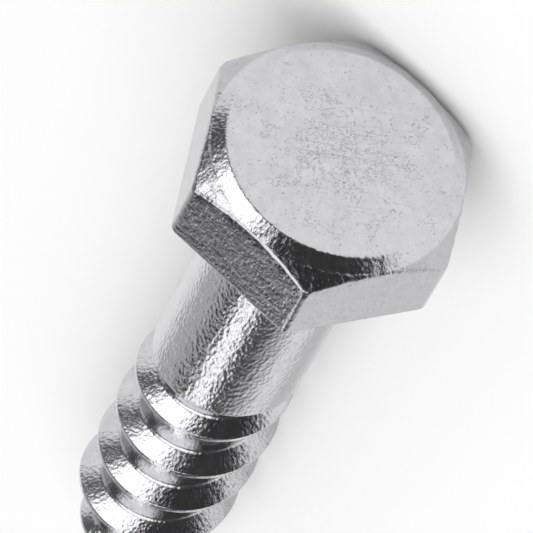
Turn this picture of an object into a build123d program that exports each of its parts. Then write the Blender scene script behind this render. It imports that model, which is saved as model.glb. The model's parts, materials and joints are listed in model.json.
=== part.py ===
from build123d import *
import os
from math import asin, atan2, cos, hypot, pi, radians, sin, tan

# A hex-head lag screw of the DIN 571 pattern, M8 x 40: one forged and rolled piece of zinc-plated
# steel. It has a hexagon head with a conical chamfer, a plain shank, a coarse right-hand wood thread
# and a gimlet point that the thread runs down onto.
#
# Frame: the origin is where the screw's axis crosses the bearing face, the underside of the head.
# The screw lies as it comes to rest on a level floor: one flat of the head faces down and stands on
# its bearing-side edge, and a crest near the point touches the floor. The axis therefore runs along
# +X from the head to the point and dips a few degrees. +Z is up.

# ---- head
across_flats = 13.0
head_height = 5.35
crown_diameter = 11.4  # the flat round top that the chamfer leaves
chamfer_angle = 36.0  # from the crown's plane, degrees
corner_radius = 0.5  # on the six upright corners
rim_radius = 0.15  # on the edge round the bearing face

# ---- shank
shank_diameter = 7.8
shank_length = 16.0  # from the bearing face to the middle of the shank's end
shank_end_slant = 8.5  # degrees; the rolled thread leaves the end leaning the way the thread does
shoulder_length = 0.8  # the taper at the shank's end, along it
shoulder_step = 0.65  # and across it
underhead_radius = 0.4

# ---- thread and point
length = 40.0  # from the bearing face to the tip
thread_diameter = 8.2  # over the crests
root_diameter = 6.1
pitch = 3.9
thread_angle = 60.0  # between the two flanks, degrees
crest_width = 0.3  # the narrow land on top of the ridge
crest_setback = 0.2  # the first full crest, straight below the axis, lies this far before the shank's end
lead_in_turns = 0.5  # before it, over which the ridge rises out of the shank
point_length = 8.4  # the cone from the root to the tip
tip_diameter = 0.7
tip_rounding = 0.3  # length of the blunt end
fall_ahead = 0.2  # how far before the cone the crest begins to fall
last_crest = 0.35  # height of the ridge where it runs out on the point
sink = 0.25  # how far the ridge's foot is buried in the blank

# ---- what follows from them
shank_radius = shank_diameter / 2
root_radius = root_diameter / 2
crest_radius = thread_diameter / 2
tip_radius = tip_diameter / 2
cone_start = length - point_length
first_full_crest = shank_length - crest_setback
last_full_crest = cone_start - fall_ahead
full_turns = (last_full_crest - first_full_crest) / pitch
last_low_crest = first_full_crest + int(round(full_turns, 6)) * pitch
run_out_turns = (length - tip_rounding - last_full_crest) / pitch
flank_slope = tan(radians(thread_angle / 2))

# The head stands on its bearing-side edge, which is rounded, and the thread on the last full crest
# that lies straight below the axis. The line that touches both is the floor.
head_contact = Vector(-rim_radius, -across_flats / 2 + rim_radius)
crest_contact = Vector(last_low_crest, -crest_radius)
reach = crest_contact - head_contact
rest_tilt = atan2(reach.Y, reach.X) + asin(rim_radius / hypot(reach.X, reach.Y))

axis_direction = Vector(cos(rest_tilt), 0, -sin(rest_tilt))
screw_axis = Axis((0, 0, 0), tuple(axis_direction))
bearing_plane = Plane(origin=(0, 0, 0), x_dir=(0, 1, 0), z_dir=tuple(axis_direction))
# Half-section plane: its x runs along the screw from head to point, and its y is the radius.
section_plane = Plane(origin=(0, 0, 0), x_dir=tuple(axis_direction), z_dir=(0, -1, 0))


def ridge_section(path, position, outer_radius, base_radius, land):
    """The thread ridge's outline across its path: a trapezoid from below the root to its crest."""
    centre = path @ position
    on_axis = screw_axis.position + axis_direction * centre.dot(axis_direction)
    plane = Plane(origin=on_axis, x_dir=centre - on_axis, z_dir=path % position)
    half_foot = land / 2 + (outer_radius - base_radius) * flank_slope
    with BuildSketch(plane) as section:
        with BuildLine():
            Polyline(
                (base_radius, -half_foot),
                (outer_radius, -land / 2),
                (outer_radius, land / 2),
                (base_radius, half_foot),
                close=True,
            )
        make_face()
    return section.sketch


def thread_path(start, turns):
    """A right-hand helix along the root from this distance to the bearing face, for so many turns.

    Its phase is that of the whole thread, which points straight down at the first full crest."""
    phase = (start - first_full_crest) / pitch * 360
    foot = Plane(
        origin=tuple(axis_direction * start),
        x_dir=tuple((-section_plane.y_dir).rotate(screw_axis, phase)),
        z_dir=tuple(axis_direction),
    )
    path = Helix(pitch, turns * pitch, root_radius, mode=Mode.PRIVATE)
    return (foot * path).edges()[0]


def ridge(start, turns, first, last):
    """One stretch of the thread ridge, from one (crest radius, base radius, land) to another."""
    path = thread_path(start, turns)
    sections = [ridge_section(path, 0, *first), ridge_section(path, 1, *last)]
    sweep(sections=sections, path=path, multisection=True, is_frenet=True)


full_ridge = (crest_radius, root_radius - sink, crest_width)
buried_ridge = (shank_radius - sink, root_radius - 2 * sink, crest_width)
spent_ridge = (tip_radius + last_crest, tip_radius * 0.5, crest_width / 2)

with BuildPart() as shank:
    with BuildSketch(bearing_plane):
        Circle(shank_radius)
    extrude(amount=shank_length * 2)
    slant = Plane(
        origin=tuple(axis_direction * shank_length),
        z_dir=tuple(axis_direction + Vector(0, tan(radians(shank_end_slant)), 0)),
    )
    split(bisect_by=slant, keep=Keep.BOTTOM)
    end_face = shank.faces().sort_by(screw_axis)[-1]
    chamfer(end_face.edges(), shoulder_step, shoulder_length, reference=end_face)

with BuildPart() as lag_screw:
    # the hexagon head, upset from the blank and chamfered on its top
    with BuildSketch(bearing_plane):
        RegularPolygon(across_flats / 2, 6, major_radius=False)
    extrude(amount=-head_height)
    fillet(lag_screw.edges().filter_by(screw_axis), corner_radius)
    corner_reach = across_flats / 2 / cos(pi / 6)
    chamfer_drop = (corner_reach - crown_diameter / 2) * tan(radians(chamfer_angle))
    with BuildSketch(section_plane):
        with BuildLine():
            Polyline(
                (0, 0),
                (-head_height, 0),
                (-head_height, crown_diameter / 2),
                (chamfer_drop - head_height, corner_reach),
                (0, corner_reach),
                close=True,
            )
        make_face()
    revolve(axis=screw_axis, mode=Mode.INTERSECT)
    bearing_face = lag_screw.faces().sort_by(screw_axis)[-1]
    fillet(bearing_face.edges(), rim_radius)

    # the shank, with a fillet under the head
    add(shank.part)
    underhead = lag_screw.edges().filter_by(GeomType.CIRCLE)
    underhead = underhead.filter_by(lambda edge: abs(edge.radius - shank_radius) < 1e-3)
    fillet(underhead.sort_by(screw_axis)[0], underhead_radius)

    # the core: the thread's root and the pointed end
    with BuildSketch(section_plane):
        with BuildLine():
            Polyline(
                (0, 0),
                (0, root_radius),
                (cone_start, root_radius),
                (length - tip_rounding, tip_radius),
                (length, 0),
                close=True,
            )
        make_face()
    revolve(axis=screw_axis)

    # the rolled thread
    lead_in_start = first_full_crest - lead_in_turns * pitch
    ridge(lead_in_start, lead_in_turns, buried_ridge, full_ridge)
    ridge(first_full_crest, full_turns, full_ridge, full_ridge)
    ridge(last_full_crest, run_out_turns, full_ridge, spent_ridge)

lag_screw.part.label = "lag_screw"

os.makedirs("parts", exist_ok=True)
export_step(lag_screw.part, "parts/lag_screw.step")
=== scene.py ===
import json
import math

import bpy
import numpy as np
from mathutils import Matrix, Vector

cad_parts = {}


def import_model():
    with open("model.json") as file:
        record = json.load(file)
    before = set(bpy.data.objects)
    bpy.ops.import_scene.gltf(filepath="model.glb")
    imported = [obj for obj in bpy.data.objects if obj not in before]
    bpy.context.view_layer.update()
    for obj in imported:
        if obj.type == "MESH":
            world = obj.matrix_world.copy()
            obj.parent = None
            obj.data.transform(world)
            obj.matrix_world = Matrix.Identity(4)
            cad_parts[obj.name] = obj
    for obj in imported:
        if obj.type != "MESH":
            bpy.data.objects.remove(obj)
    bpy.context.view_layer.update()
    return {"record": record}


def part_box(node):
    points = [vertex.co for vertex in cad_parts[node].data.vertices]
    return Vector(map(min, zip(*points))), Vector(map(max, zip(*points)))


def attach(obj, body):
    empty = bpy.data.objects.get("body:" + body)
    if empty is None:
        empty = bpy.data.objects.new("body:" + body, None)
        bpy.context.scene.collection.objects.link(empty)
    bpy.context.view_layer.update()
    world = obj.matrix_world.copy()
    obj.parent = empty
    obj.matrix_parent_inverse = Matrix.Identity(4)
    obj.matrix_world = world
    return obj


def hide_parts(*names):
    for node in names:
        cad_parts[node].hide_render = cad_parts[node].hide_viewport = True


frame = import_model()
MM = 0.001
WELD = 2e-7  # metres

# ---------------------------------------------------------------- the screw's frame
MOUNTS = {mount["name"]: mount for mount in frame["record"]["mounts"]}
AXIS = Vector(MOUNTS["shank"]["axis"]).normalized()  # from the head to the point
ORIGIN = Vector(MOUNTS["shank"]["pos_m"])  # where the axis crosses the bearing face
SIDE = Vector((0.0, 1.0, 0.0))
UP = AXIS.cross(SIDE).normalized()
SHANK_R = MOUNTS["shank"]["dims"]["r_mm"]
TILT = math.atan2(-AXIS.z, AXIS.x)
FLOOR_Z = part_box("lag_screw")[0][2]

# ---------------------------------------------------------------- sizes, mm
FLATS = 13.0
HEAD_H = 5.35
CROWN_R = 5.7
CHAMFER = math.radians(36.0)
CORNER_RADII = (1.0, 0.5, 0.4, 0.5, 0.5, 1.0)  # from the lower right corner round to the lower left
CROWN_EDGE_R = 0.35
CHAMFER_EDGE_R = 0.3
RIM_R = 0.24
WEAR_EDGE_R = 0.1
WEAR_DEPTH = 0.5  # along the flats
EDGE_WEAR = 0.025  # how far the knocks along the chamfer's edge go in
WEAR_WAVES = ((17, 1.0, 0.0), (41, 0.8, 1.0), (67, 0.6, 2.0))  # knocks round the head, weight, phase
UNDERHEAD_R = 0.4
SHANK_L = 16.0
SHANK_SLANT = math.radians(8.5)
SHOULDER_L = 0.8
SHOULDER_STEP = 0.65
SHOULDER_R = 0.3  # rounding where the shoulder begins
GROOVE_R = 0.12  # and where it meets the flat ring round the core
LENGTH = 40.0
CREST_R = 4.1
ROOT_R = 3.05
PITCH = 3.9
FLANK = math.radians(30.0)
LAND = 0.3
CREST_SETBACK = 0.2
FIRST_CREST = SHANK_L - CREST_SETBACK
LEAD_IN = 0.5  # turns before the first crest, over which the ridge comes out of the shank
EARLY_CREST_R = 3.85  # at the first crest, before the ridge has grown to its full height
RISE = 0.65  # turns after the first crest, over which it grows
FULL_TURNS = 4
LAST_FULL_CREST = FIRST_CREST + FULL_TURNS * PITCH
POINT_L = 8.4
TIP_R = 0.35
TIP_ROUND = 0.3
LAST_CREST = 0.35
SINK = 0.25  # how far below the shank's surface the ridge begins
CORE_SINK = 0.6  # how far inside the thread's root the shank's end closes
CREST_ROUND = 0.07
FOOT_ROUND = 0.3

# ---------------------------------------------------------------- how finely the meshes are divided
HEAD_ARC_STEPS = 5
HEAD_SPACING = 0.7
CORNER_STEPS = 8
FLAT_PLACES = [0.0, 0.012] + list(np.linspace(0.05, 0.95, 25)) + [0.988]  # as shares of a flat's width
THREAD_ARC_STEPS = 4
THREAD_SPACING = 0.5
STEPS_PER_TURN = 120
CLOSE_PAIR = 0.04  # how near to each end of a long stretch, as a share of it, an extra row stands


# ---------------------------------------------------------------- mesh helpers
def rounded(points, radii, segments):
    """A polyline with its inner corners rounded; each point is an array (n, 2), one row per station."""
    out = [points[0]]
    for k in range(1, len(points) - 1):
        before = points[k - 1] - points[k]
        after = points[k + 1] - points[k]
        len_before = np.linalg.norm(before, axis=1, keepdims=True) + 1e-9
        len_after = np.linalg.norm(after, axis=1, keepdims=True) + 1e-9
        d1 = before / len_before
        d2 = after / len_after
        dot = np.clip(np.sum(d1 * d2, axis=1, keepdims=True), -0.999999, 0.999999)
        half = np.arccos(dot) / 2
        reach = np.minimum(radii[k] / np.tan(half), 0.45 * np.minimum(len_before, len_after))
        radius = reach * np.tan(half)
        middle = d1 + d2
        middle /= np.linalg.norm(middle, axis=1, keepdims=True) + 1e-9
        centre = points[k] + middle * radius / np.sin(half)
        v1 = points[k] + d1 * reach - centre
        v2 = points[k] + d2 * reach - centre
        turn = np.pi - 2 * half
        for i in range(segments + 1):
            s = i / segments
            blend = (np.sin((1 - s) * turn) * v1 + np.sin(s * turn) * v2) / np.sin(turn)
            out.append(centre + blend)
    out.append(points[-1])
    return out


def filled(rows, longest):
    """Adds rows between far-apart ones, with a close pair at each end so that flats shade flat."""
    out = [rows[0]]
    for a, b in zip(rows[:-1], rows[1:]):
        gap = float(np.max(np.linalg.norm(b - a, axis=1)))
        if gap > longest:
            count = int(math.ceil(gap / longest))
            steps = [CLOSE_PAIR] + [i / count for i in range(1, count)] + [1 - CLOSE_PAIR]
            for s in steps:
                out.append(a + (b - a) * s)
        out.append(b)
    return out


def grid_mesh(name, rows, angles, closed):
    """A mesh from rows of (axial, radius) stations at angles; the angle is measured from straight down."""
    axis, across, up = (np.array(v) for v in (AXIS, SIDE, UP))
    radial = np.outer(np.sin(angles), across) - np.outer(np.cos(angles), up)
    verts = [np.outer(row[:, 0], axis) + radial * row[:, 1:2] for row in rows]
    verts = np.concatenate(verts) * MM + np.array(ORIGIN)
    n = len(angles)
    last = n if closed else n - 1
    faces = []
    for k in range(len(rows) - 1):
        for i in range(last):
            j = (i + 1) % n
            faces.append((k * n + i, (k + 1) * n + i, (k + 1) * n + j, k * n + j))
    mesh = bpy.data.meshes.new(name)
    mesh.from_pydata(verts.tolist(), [], faces)
    return mesh


# ---------------------------------------------------------------- the head and shank
def hexagon():
    """The angles and radii of the head's outline, closest together round the corners."""
    angles = []
    radii = []

    def add(x, y):
        angles.append(math.atan2(y, x))
        radii.append(math.hypot(x, y))

    for flat in range(6):
        facing = flat * math.pi / 3
        before, after = CORNER_RADII[flat - 1], CORNER_RADII[flat]
        start = -(FLATS / 2 - before) * math.tan(math.pi / 6)
        end = (FLATS / 2 - after) * math.tan(math.pi / 6)
        for s in FLAT_PLACES:
            across = start + (end - start) * s
            x, y = FLATS / 2, across
            add(x * math.cos(facing) - y * math.sin(facing), x * math.sin(facing) + y * math.cos(facing))
        corner = facing + math.pi / 6
        centre = (FLATS / 2 - after) / math.cos(math.pi / 6)
        for i in range(CORNER_STEPS):
            turn = facing + math.pi / 3 * i / CORNER_STEPS
            add(
                centre * math.cos(corner) + after * math.cos(turn),
                centre * math.sin(corner) + after * math.sin(turn),
            )
    return np.unwrap(np.array(angles)), np.array(radii)


def head_and_shank():
    """The head, the shank and its shoulder, as one profile whose radii follow the hexagon."""
    angles, hexa = hexagon()
    n = len(angles)

    def station(a, r):
        return np.stack([np.broadcast_to(a, (n,)), np.broadcast_to(r, (n,))], axis=1).astype(float)

    end = SHANK_L - SHANK_R * np.sin(angles) * math.tan(SHANK_SLANT)
    inner = SHANK_R - SHOULDER_STEP
    inner_end = SHANK_L - inner * np.sin(angles) * math.tan(SHANK_SLANT)
    wear = np.abs(sum(weight * np.sin(waves * angles + phase) for waves, weight, phase in WEAR_WAVES))
    worn = hexa - EDGE_WEAR * wear
    chamfer_end = -HEAD_H + (hexa - CROWN_R) * math.tan(CHAMFER)
    corners = [
        station(-HEAD_H, 0.0),
        station(-HEAD_H, CROWN_R),
        station(chamfer_end, worn),
        station(chamfer_end + WEAR_DEPTH, hexa),
        station(0.0, hexa),
        station(0.0, SHANK_R),
        station(end - SHOULDER_L, SHANK_R),
        station(inner_end, inner),
        station(inner_end, ROOT_R - CORE_SINK),
    ]
    radii = [0, CROWN_EDGE_R, CHAMFER_EDGE_R, WEAR_EDGE_R, RIM_R, UNDERHEAD_R, SHOULDER_R, GROOVE_R, 0]
    rows = filled(rounded(corners, radii, HEAD_ARC_STEPS), HEAD_SPACING)
    return grid_mesh("head_and_shank", rows, angles, True)


# ---------------------------------------------------------------- the thread
def blank_radius(a):
    """The core's radius this far from the bearing face."""
    cone = LENGTH - POINT_L
    tip = LENGTH - TIP_ROUND
    return np.interp(a, [0, cone, tip, LENGTH], [ROOT_R, ROOT_R, TIP_R, 0.0])


def crest_radius(a):
    """The crest's radius where the crest's centre is this far from the bearing face."""
    start = FIRST_CREST - LEAD_IN * PITCH
    tip = LENGTH - TIP_ROUND
    grown = FIRST_CREST + RISE * PITCH
    places = [0, start, FIRST_CREST, grown, LAST_FULL_CREST, tip, LENGTH]
    buried = SHANK_R - SINK
    return np.interp(a, places, [buried, buried, EARLY_CREST_R, CREST_R, CREST_R, TIP_R + LAST_CREST, 0.0])


def half_land(a):
    """Half the crest's width, which narrows to half of that at the tip."""
    return np.interp(a, [LAST_FULL_CREST, LENGTH], [LAND / 2, LAND / 4])


def threaded_end():
    """The thread and point, one pitch of its profile carried along the helix from crest to crest."""
    begin = FIRST_CREST - (LEAD_IN + 1) * PITCH
    count = int(math.ceil((LENGTH - begin) / PITCH * STEPS_PER_TURN)) + 1
    centres = begin + np.arange(count) * PITCH / STEPS_PER_TURN
    angles = (centres - FIRST_CREST) / PITCH * 2 * math.pi
    following = centres + PITCH

    def edge(at, sign):
        return np.stack([at + sign * half_land(at), crest_radius(at)], axis=1)

    def foot(at, sign):
        drop = np.maximum(crest_radius(at) - blank_radius(at), 0.0)
        a = at + sign * (half_land(at) + drop * math.tan(FLANK))
        return np.stack([a, blank_radius(a)], axis=1)

    corners = [
        np.stack([centres, crest_radius(centres)], axis=1),
        edge(centres, 1),
        foot(centres, 1),
        foot(following, -1),
        edge(following, -1),
        np.stack([following, crest_radius(following)], axis=1),
    ]
    rows = rounded(corners, [0, CREST_ROUND, FOOT_ROUND, FOOT_ROUND, CREST_ROUND, 0], THREAD_ARC_STEPS)
    rows = filled(rows, THREAD_SPACING)
    for row in rows:
        past = row[:, 0] > LENGTH
        row[past, 0] = LENGTH
        row[past, 1] = 0.0
    return grid_mesh("threaded_end", rows, angles, False)


def screw():
    """The whole screw as one object: the head with its shank, and the threaded end that runs into it."""
    bpy.ops.object.select_all(action="DESELECT")
    parts = [bpy.data.objects.new(mesh.name, mesh) for mesh in (head_and_shank(), threaded_end())]
    for part in parts:
        bpy.context.scene.collection.objects.link(part)
        part.select_set(True)
    bpy.context.view_layer.objects.active = parts[0]
    bpy.ops.object.join()
    obj = parts[0]
    obj.name = "screw"
    bpy.ops.object.mode_set(mode="EDIT")
    bpy.ops.mesh.select_all(action="SELECT")
    bpy.ops.mesh.remove_doubles(threshold=WELD)
    bpy.ops.mesh.normals_make_consistent(inside=False)
    bpy.ops.object.mode_set(mode="OBJECT")
    bpy.ops.object.shade_smooth()
    obj.select_set(False)
    return obj


# ---------------------------------------------------------------- material helpers
def new_material(name):
    material = bpy.data.materials.new(name)
    material.use_nodes = True
    tree = material.node_tree
    return material, tree, tree.nodes["Principled BSDF"]


def node(tree, kind, **values):
    """A new node with these sockets or settings set."""
    made = tree.nodes.new(kind)
    for key, value in values.items():
        if key in made.inputs:
            made.inputs[key].default_value = value
        else:
            setattr(made, key, value)
    return made


def link(tree, source, target):
    tree.links.new(source, target)


def ramp(tree, value, low, high, bottom=0.0, top=1.0):
    """The value mapped from low..high to bottom..top and held there."""
    made = node(tree, "ShaderNodeMapRange")
    made.inputs["From Min"].default_value = low
    made.inputs["From Max"].default_value = high
    made.inputs["To Min"].default_value = bottom
    made.inputs["To Max"].default_value = top
    link(tree, value, made.inputs["Value"])
    return made.outputs["Result"]


def maths(tree, operation, a, b):
    """The operation on two sockets, or on a socket and a float."""
    made = tree.nodes.new("ShaderNodeMath")
    made.operation = operation
    for socket, value in zip(made.inputs, (a, b)):
        if isinstance(value, float):
            socket.default_value = value
        else:
            link(tree, value, socket)
    return made.outputs["Value"]


def mix(tree, factor, a, b, blend="MIX"):
    """Colour b over colour a by this factor; each is a colour or a socket."""
    made = node(tree, "ShaderNodeMix", data_type="RGBA", blend_type=blend)
    link(tree, factor, made.inputs["Factor"])
    for name, value in (("A", a), ("B", b)):
        if isinstance(value, tuple):
            made.inputs[name].default_value = (*value, 1.0)
        else:
            link(tree, value, made.inputs[name])
    return made.outputs["Result"]


def mapped(tree, place, scale=(1.0, 1.0, 1.0), turn=(0.0, 0.0, 0.0)):
    """The place turned and then scaled; a scale under one draws a texture out along that axis."""
    turned = node(tree, "ShaderNodeMapping")
    turned.inputs["Rotation"].default_value = turn
    link(tree, place, turned.inputs["Vector"])
    scaled = node(tree, "ShaderNodeMapping")
    scaled.inputs["Scale"].default_value = scale
    link(tree, turned.outputs["Vector"], scaled.inputs["Vector"])
    return scaled.outputs["Vector"]


def noise(tree, place, cells, detail=3.0, roughness=0.55):
    """Noise with this many cells a millimetre."""
    made = node(tree, "ShaderNodeTexNoise", Scale=cells, Detail=detail, Roughness=roughness)
    link(tree, place, made.inputs["Vector"])
    return made.outputs["Fac"]


def dimples(tree, place, cells):
    """Smooth hollows, this many a millimetre."""
    made = node(tree, "ShaderNodeTexVoronoi", feature="SMOOTH_F1", Scale=cells, Smoothness=0.6)
    link(tree, place, made.inputs["Vector"])
    return made.outputs["Distance"]


def bump(tree, height, depth, strength, under=None):
    """The normal that this height gives, with its depth in millimetres, on top of the one under it."""
    made = node(tree, "ShaderNodeBump", Strength=strength, Distance=depth * MM)
    link(tree, height, made.inputs["Height"])
    if under is not None:
        link(tree, under, made.inputs["Normal"])
    return made.outputs["Normal"]


# ---------------------------------------------------------------- the zinc
DULL = (0.58, 0.58, 0.60)
BRIGHT = (0.66, 0.66, 0.68)
# Painted shade: the flats' base colour is multiplied by this, so that the flats reflect darker
FLATS_PAINTED_SHADE = (0.82, 0.82, 0.82)
# The dark colour of the painted shade in the pits, also used for the seams and scratches
PIT_SHADE_AND_MARK = (0.36, 0.36, 0.37)
MARK_SHARE = 0.9  # how much of the dark colour the painted shade of a pit takes
SEAM_SHARE = 0.7  # a seam's depth of colour beside a pit's
SCRATCH_SHARE = 0.45  # and a scratch's
ROUGHNESS = (0.07, 0.15)  # where the zinc is dull and where it is bright
# The noise levels between which each kind of mark comes in
BLOTCH_LEVELS = (0.3, 0.7)
PIT_LEVELS = (0.645, 0.70)
PATCH_LEVELS = (0.58, 0.68)
SCRATCH_LEVELS = (0.60, 0.68)
SEAM_WIDTH = 0.014
MORE_PITS = 0.03  # added to the noise in the crown's middle
MORE_SEAMS = 0.2
GRAIN_STRETCH = (0.5, 1.0, 1.0)  # the grain is half as fine along the screw as across it
STREAK_STRETCH = (1.8, 0.7, 1.8)
SCRATCH_STRETCH = (1.0, 0.22, 7.0)
SCRATCH_TURN = (math.radians(40.2), 0.0, 0.0)
# Where each region of the surface fades in or out, in mm along the screw or out from its axis
CROWN_ENDS = (-HEAD_H + 0.03, -HEAD_H + 0.09)
MIDDLE_ENDS = (1.2, 4.8)
FLATS_BEGIN = (FLATS / 2 - 0.15, FLATS / 2 - 0.05)
HEAD_ENDS = (0.02, 0.05)
SHANK_BEGINS = (0.3, 0.6)
SHANK_ENDS = (SHANK_L - 0.4, SHANK_L + 0.2)


def screw_coordinates(tree):
    """Object coordinates in millimetres, turned so that their x runs along the screw."""
    coords = node(tree, "ShaderNodeTexCoord")
    straight = node(tree, "ShaderNodeMapping")
    straight.inputs["Rotation"].default_value = (0.0, -TILT, 0.0)
    straight.inputs["Scale"].default_value = (1 / MM, 1 / MM, 1 / MM)
    link(tree, coords.outputs["Object"], straight.inputs["Vector"])
    return straight.outputs["Vector"]


def regions(tree, place):
    """Masks for the crown, its middle, the six flats and the shank."""
    split = node(tree, "ShaderNodeSeparateXYZ")
    link(tree, place, split.inputs["Vector"])
    along, across, up = (split.outputs[name] for name in ("X", "Y", "Z"))
    square = maths(tree, "ADD", maths(tree, "POWER", across, 2.0), maths(tree, "POWER", up, 2.0))
    radius = maths(tree, "POWER", square, 0.5)
    crown = ramp(tree, along, *CROWN_ENDS, 1.0, 0.0)
    middle = maths(tree, "MULTIPLY", crown, ramp(tree, radius, *MIDDLE_ENDS, 1.0, 0.0))
    head = ramp(tree, along, *HEAD_ENDS, 1.0, 0.0)
    flats = maths(tree, "MULTIPLY", ramp(tree, radius, *FLATS_BEGIN), head)
    past_shank = ramp(tree, along, *SHANK_ENDS, 1.0, 0.0)
    shank = maths(tree, "MULTIPLY", ramp(tree, along, *SHANK_BEGINS), past_shank)
    return crown, middle, flats, shank


def pit_shade(tree, place, middle):
    """Dark specks of painted shade in the pits, with more of them in the crown's middle."""
    speckle = noise(tree, place, cells=6.5, detail=2.0)
    speckle = maths(tree, "ADD", speckle, maths(tree, "MULTIPLY", middle, MORE_PITS))
    return ramp(tree, speckle, *PIT_LEVELS)


def crown_seams(tree, place, crown, middle):
    """Fine winding lines, in patches of the crown, where a noise crosses its middle value."""
    winding = noise(tree, place, cells=2.4, detail=3.0, roughness=0.6)
    off_middle = maths(tree, "ABSOLUTE", maths(tree, "SUBTRACT", winding, 0.5), 0.0)
    lines = ramp(tree, off_middle, 0.0, SEAM_WIDTH, 1.0, 0.0)
    patches = noise(tree, place, cells=0.9, detail=2.0)
    patches = maths(tree, "ADD", patches, maths(tree, "MULTIPLY", middle, MORE_SEAMS))
    patches = ramp(tree, patches, *PATCH_LEVELS)
    return maths(tree, "MULTIPLY", maths(tree, "MULTIPLY", lines, patches), crown)


def scratches(tree, place, middle):
    """Faint parallel scratches over the crown's middle."""
    drawn = mapped(tree, place, scale=SCRATCH_STRETCH, turn=SCRATCH_TURN)
    lines = ramp(tree, noise(tree, drawn, cells=1.0, detail=1.0), *SCRATCH_LEVELS)
    return maths(tree, "MULTIPLY", lines, middle)


def relief(tree, place, flats, shank, seams):
    """The normal: waves, dimples, grain, streaks on the flats, orange peel on the shank, and seams."""
    drawn = mapped(tree, place, scale=GRAIN_STRETCH)
    hollows = dimples(tree, drawn, cells=5.4)
    streaks = noise(tree, mapped(tree, place, scale=STREAK_STRETCH), cells=1.6, detail=4.0, roughness=0.68)
    layers = (  # height, depth in mm, strength
        (noise(tree, place, cells=0.6, detail=2.0), 0.10, 0.25),
        (hollows, 0.03, 0.4),
        (noise(tree, drawn, cells=5.4, detail=4.0, roughness=0.62), 0.03, 0.7),
        (maths(tree, "MULTIPLY", streaks, flats), 0.06, 0.7),
        (maths(tree, "MULTIPLY", hollows, shank), 0.04, 0.28),
        (maths(tree, "MULTIPLY", seams, -1.0), 0.03, 0.5),
    )
    normal = None
    for height, depth, strength in layers:
        normal = bump(tree, height, depth, strength, normal)
    return normal


def zinc():
    """Bright zinc over forged steel: grain, pits darkened with painted shade, a rubbed middle, streaks on
    the flats, and painted shade that darkens the flats.
    """
    material, tree, shader = new_material("zinc_steel")
    place = screw_coordinates(tree)
    crown, middle, flats, shank = regions(tree, place)
    seams = crown_seams(tree, place, crown, middle)
    # Painted shade in the pits, with the seams and scratches darkened by the same colour
    pit_shade_and_marks = maths(tree, "MAXIMUM", pit_shade(tree, place, middle), maths(tree, "MULTIPLY", seams, SEAM_SHARE))
    scored = maths(tree, "MULTIPLY", scratches(tree, place, middle), SCRATCH_SHARE)
    pit_shade_and_marks = maths(tree, "MAXIMUM", pit_shade_and_marks, scored)
    blotches = noise(tree, place, cells=1.6, detail=3.0)
    colour = mix(tree, ramp(tree, blotches, *BLOTCH_LEVELS), DULL, BRIGHT)
    # Painted shade: the flats' colour multiplied darker than the rest of the head
    colour = mix(tree, flats, colour, FLATS_PAINTED_SHADE, blend="MULTIPLY")
    # The pits' painted shade and the darker seams and scratches laid over the colour
    colour = mix(tree, maths(tree, "MULTIPLY", pit_shade_and_marks, MARK_SHARE), colour, PIT_SHADE_AND_MARK)
    shader.inputs["Metallic"].default_value = 1.0
    link(tree, colour, shader.inputs["Base Color"])
    link(tree, ramp(tree, blotches, *BLOTCH_LEVELS, *ROUGHNESS), shader.inputs["Roughness"])
    link(tree, relief(tree, place, flats, shank, seams), shader.inputs["Normal"])
    return material


# ---------------------------------------------------------------- the studio's materials
FLOOR_WHITE = (0.93, 0.93, 0.93)


def paper():
    """The floor's matt white, with no gloss."""
    material, tree, shader = new_material("floor")
    shader.inputs["Base Color"].default_value = (*FLOOR_WHITE, 1.0)
    shader.inputs["Roughness"].default_value = 0.9
    shader.inputs["Specular IOR Level"].default_value = 0.0
    return material


def glow(name, level):
    """A surface that gives off this much white light."""
    material = bpy.data.materials.new(name)
    material.use_nodes = True
    tree = material.node_tree
    tree.nodes.clear()
    light = node(tree, "ShaderNodeEmission", Strength=level)
    out = node(tree, "ShaderNodeOutputMaterial")
    link(tree, light.outputs["Emission"], out.inputs["Surface"])
    return material


# ---------------------------------------------------------------- the studio, in metres
CANOPY = 0.9  # how far the dark cards are from the screw
LIGHTS = 0.8  # and the bright ones, which stand in front of them
NEAR = 0.09  # and one low card, close by
CARD_STEPS = 24
SHEET_RISE = 0.1 * MM  # how far the flat card is above the floor
FLOOR_HALF = 2.5
CLIP = (0.01, 20.0)


def reflected_only(name, mesh):
    """Stages a mesh that only mirror-like reflections show."""
    obj = bpy.data.objects.new(name, mesh)
    bpy.context.scene.collection.objects.link(obj)
    obj.visible_camera = False
    obj.visible_diffuse = False
    obj.visible_shadow = False
    obj.visible_transmission = False


def card(name, azimuth, elevation, distance, level):
    """A curved card round the screw, seen only in reflections; the ranges are in degrees."""
    verts = []
    for e in np.linspace(*elevation, CARD_STEPS + 1):
        for a in np.linspace(*azimuth, CARD_STEPS + 1):
            az, el = math.radians(a), math.radians(e)
            out = distance * math.cos(el)
            verts.append((out * math.cos(az), out * math.sin(az), distance * math.sin(el)))
    faces = []
    for i in range(CARD_STEPS):
        for j in range(CARD_STEPS):
            k = i * (CARD_STEPS + 1) + j
            faces.append((k, k + 1, k + CARD_STEPS + 2, k + CARD_STEPS + 1))
    mesh = bpy.data.meshes.new(name)
    mesh.from_pydata(verts, [], faces)
    mesh.materials.append(glow(name, level))
    reflected_only(name, mesh)


def level_mesh(name, near, far, z):
    """A level rectangle at this height, from one corner to the opposite one."""
    (x0, y0), (x1, y1) = near, far
    mesh = bpy.data.meshes.new(name)
    mesh.from_pydata([(x0, y0, z), (x1, y0, z), (x1, y1, z), (x0, y1, z)], [], [(0, 1, 2, 3)])
    return mesh


def sheet(name, near, far, level):
    """A flat card just over the floor, seen only in reflections."""
    mesh = level_mesh(name, near, far, FLOOR_Z + SHEET_RISE)
    mesh.materials.append(glow(name, level))
    reflected_only(name, mesh)


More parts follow.
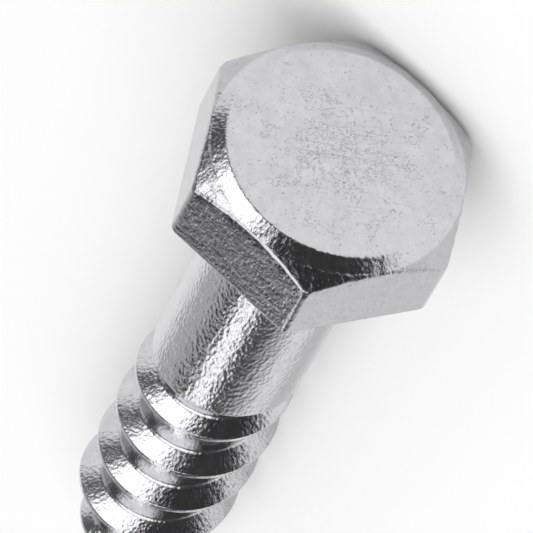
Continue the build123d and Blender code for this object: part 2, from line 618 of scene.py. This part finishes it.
def floor():
    mesh = level_mesh("floor", (-FLOOR_HALF, -FLOOR_HALF), (FLOOR_HALF, FLOOR_HALF), FLOOR_Z)
    mesh.materials.append(paper())
    obj = bpy.data.objects.new("floor", mesh)
    bpy.context.scene.collection.objects.link(obj)


def world(level):
    """An even white light from all round."""
    made = bpy.data.worlds.new("studio")
    made.use_nodes = True
    background = made.node_tree.nodes["Background"]
    background.inputs["Color"].default_value = (1.0, 1.0, 1.0, 1.0)
    background.inputs["Strength"].default_value = level
    bpy.context.scene.world = made


def lamp(name, place, size, watts):
    """A square soft lamp that looks at the screw; metal doesn't mirror it, as the cards stand for it."""
    data = bpy.data.lights.new(name, "AREA")
    data.size = size
    data.energy = watts
    obj = bpy.data.objects.new(name, data)
    obj.location = place
    obj.rotation_euler = (-Vector(place)).to_track_quat("-Z", "Y").to_euler()
    obj.visible_glossy = False
    bpy.context.scene.collection.objects.link(obj)


def camera(azimuth, elevation, roll, distance, target, angle):
    """Looks at the target, in mm, from this azimuth and elevation; the roll turns it about its view."""
    data = bpy.data.cameras.new("camera")
    data.angle = math.radians(angle)
    data.clip_start, data.clip_end = CLIP
    az, el = math.radians(azimuth), math.radians(elevation)
    back = Vector((math.cos(el) * math.cos(az), math.cos(el) * math.sin(az), math.sin(el)))
    right = Vector((0.0, 0.0, 1.0)).cross(back).normalized()
    up = back.cross(right)
    turn = Matrix.Rotation(math.radians(roll), 3, back)
    right, up = turn @ right, turn @ up
    place = Vector(target) * MM + back * distance * MM
    obj = bpy.data.objects.new("camera", data)
    obj.matrix_world = Matrix((
        (right.x, up.x, back.x, place.x),
        (right.y, up.y, back.y, place.y),
        (right.z, up.z, back.z, place.z),
        (0.0, 0.0, 0.0, 1.0),
    ))
    bpy.context.scene.collection.objects.link(obj)
    bpy.context.scene.camera = obj


def studio():
    """White floor and world, one lamp, and the cards: a dark canopy, bright strips, a bright zenith."""
    bpy.context.scene.view_settings.view_transform = "Standard"
    world(0.55)
    lamp("key", place=(-0.25, 0.3, 0.75), size=0.9, watts=5.9)
    floor()
    card("canopy_front", (-25, 12), (24, 90), CANOPY, 0.04)
    card("canopy_right", (12, 70), (12, 90), CANOPY, 0.1)
    card("canopy_far_right", (70, 110), (5, 90), CANOPY, 0.07)
    card("canopy_back", (110, 188), (0, 90), CANOPY, 0.05)
    card("canopy_left", (188, 260), (-1, 90), CANOPY, 0.12)
    card("canopy_low", (260, 335), (30, 90), CANOPY, 0.12)
    card("strip_front", (-3, 13), (20, 42), LIGHTS, 1.7)
    card("zenith", (0, 360), (58, 90), LIGHTS, 1.6)
    card("low_left", (236, 262), (-4, 12), NEAR, 0.12)
    card("strip_back", (190, 234), (17, 50), LIGHTS, 2.2)
    sheet("low_right", (13 * MM, 5 * MM), (70 * MM, 15.5 * MM), 0.66)


# ---------------------------------------------------------------- the scene
camera(
    azimuth=169.226,
    elevation=35.928,
    roll=-130.849,
    distance=327.06,
    target=(2.189, 0.386, 2.868),
    angle=4.544,
)
studio()

piece = screw()
piece.data.materials.clear()
piece.data.materials.append(zinc())
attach(piece, "root")
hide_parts("lag_screw")
